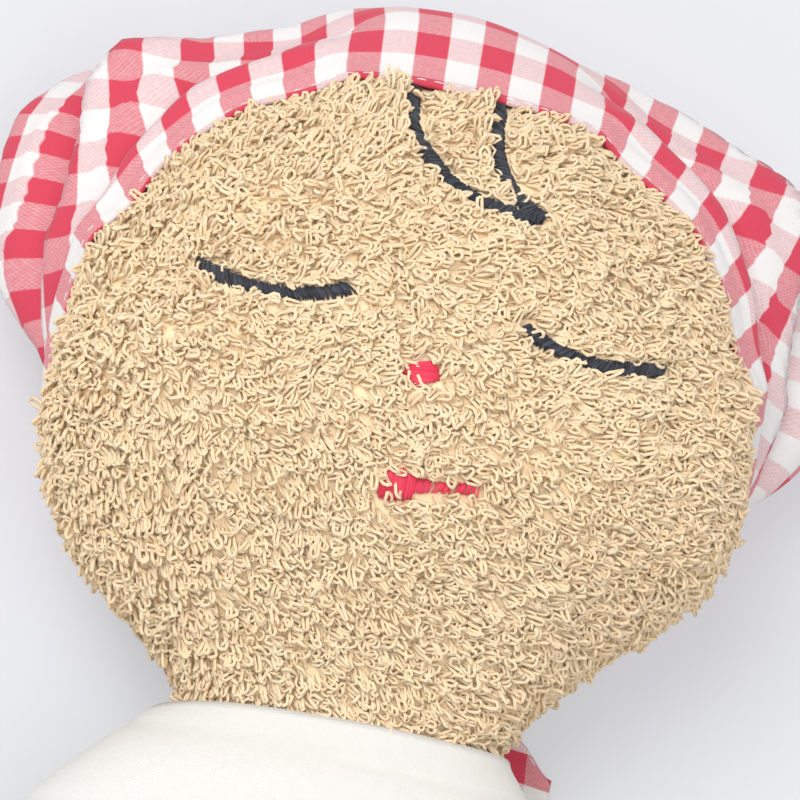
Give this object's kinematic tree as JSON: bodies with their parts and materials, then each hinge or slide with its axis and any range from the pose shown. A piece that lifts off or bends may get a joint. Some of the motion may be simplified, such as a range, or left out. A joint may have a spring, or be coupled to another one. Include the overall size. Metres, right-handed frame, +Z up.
{
  "type": "rag doll",
  "caption": "Soft terry rag doll lying on its back, with an embroidered sleeping face, a gingham kerchief tied at the nape, a cotton top and sewn limbs that swing.",
  "frame": {"origin": "on the floor, under the middle of the doll's box, with the doll lying on its back", "axes": "+X to the doll's left, +Y from the feet to the crown, +Z up out of the face"},
  "size_m": [0.1624, 0.3478, 0.0733],
  "materials": {
    "terry": "looped cotton terry, matt",
    "filling": "loose white fibre",
    "gingham": "red and white woven check, matt",
    "cotton": "plain white cotton, matt",
    "dark_thread": "charcoal satin stitch",
    "red_thread": "red satin stitch"
  },
  "bodies": {
    "torso": {"torso_front_panel": "terry", "torso_back_panel": "terry", "torso_stuffing": "filling", "top_front": "cotton", "top_back": "cotton"},
    "head": {"head_front_panel": "terry", "head_back_panel": "terry", "head_stuffing": "filling", "eye_left": "dark_thread", "eye_right": "dark_thread", "nose": "red_thread", "mouth": "red_thread", "hair_lock": "dark_thread", "kerchief": "gingham", "kerchief_knot": "gingham", "kerchief_tail_left": "gingham", "kerchief_tail_right": "gingham"},
    "arm_left": {"arm_left_front_panel": "terry", "arm_left_back_panel": "terry", "arm_left_stuffing": "filling"},
    "arm_right": {"arm_right_front_panel": "terry", "arm_right_back_panel": "terry", "arm_right_stuffing": "filling"},
    "leg_left": {"leg_left_front_panel": "terry", "leg_left_back_panel": "terry", "leg_left_stuffing": "filling"},
    "leg_right": {"leg_right_front_panel": "terry", "leg_right_back_panel": "terry", "leg_right_stuffing": "filling"}
  },
  "joints": [
    {"name": "neck_nod", "type": "hinge", "parent": "torso", "child": "head", "pos_m": [0, 0.055, 0.028], "axis": [1, 0, 0], "range_deg": [-10, 25]},
    {"name": "arm_left_swing", "type": "hinge", "parent": "torso", "child": "arm_left", "pos_m": [0.0463, 0.017, 0.022], "axis": [-1, 0, 0], "range_deg": [-40, 100]},
    {"name": "arm_right_swing", "type": "hinge", "parent": "torso", "child": "arm_right", "pos_m": [-0.0463, 0.017, 0.022], "axis": [-1, 0, 0], "range_deg": [-40, 100]},
    {"name": "leg_left_swing", "type": "hinge", "parent": "torso", "child": "leg_left", "pos_m": [0.022, -0.05, 0.013], "axis": [-1, 0, 0], "range_deg": [-20, 90]},
    {"name": "leg_right_swing", "type": "hinge", "parent": "torso", "child": "leg_right", "pos_m": [-0.022, -0.05, 0.013], "axis": [-1, 0, 0], "range_deg": [-20, 90]}
  ]
}
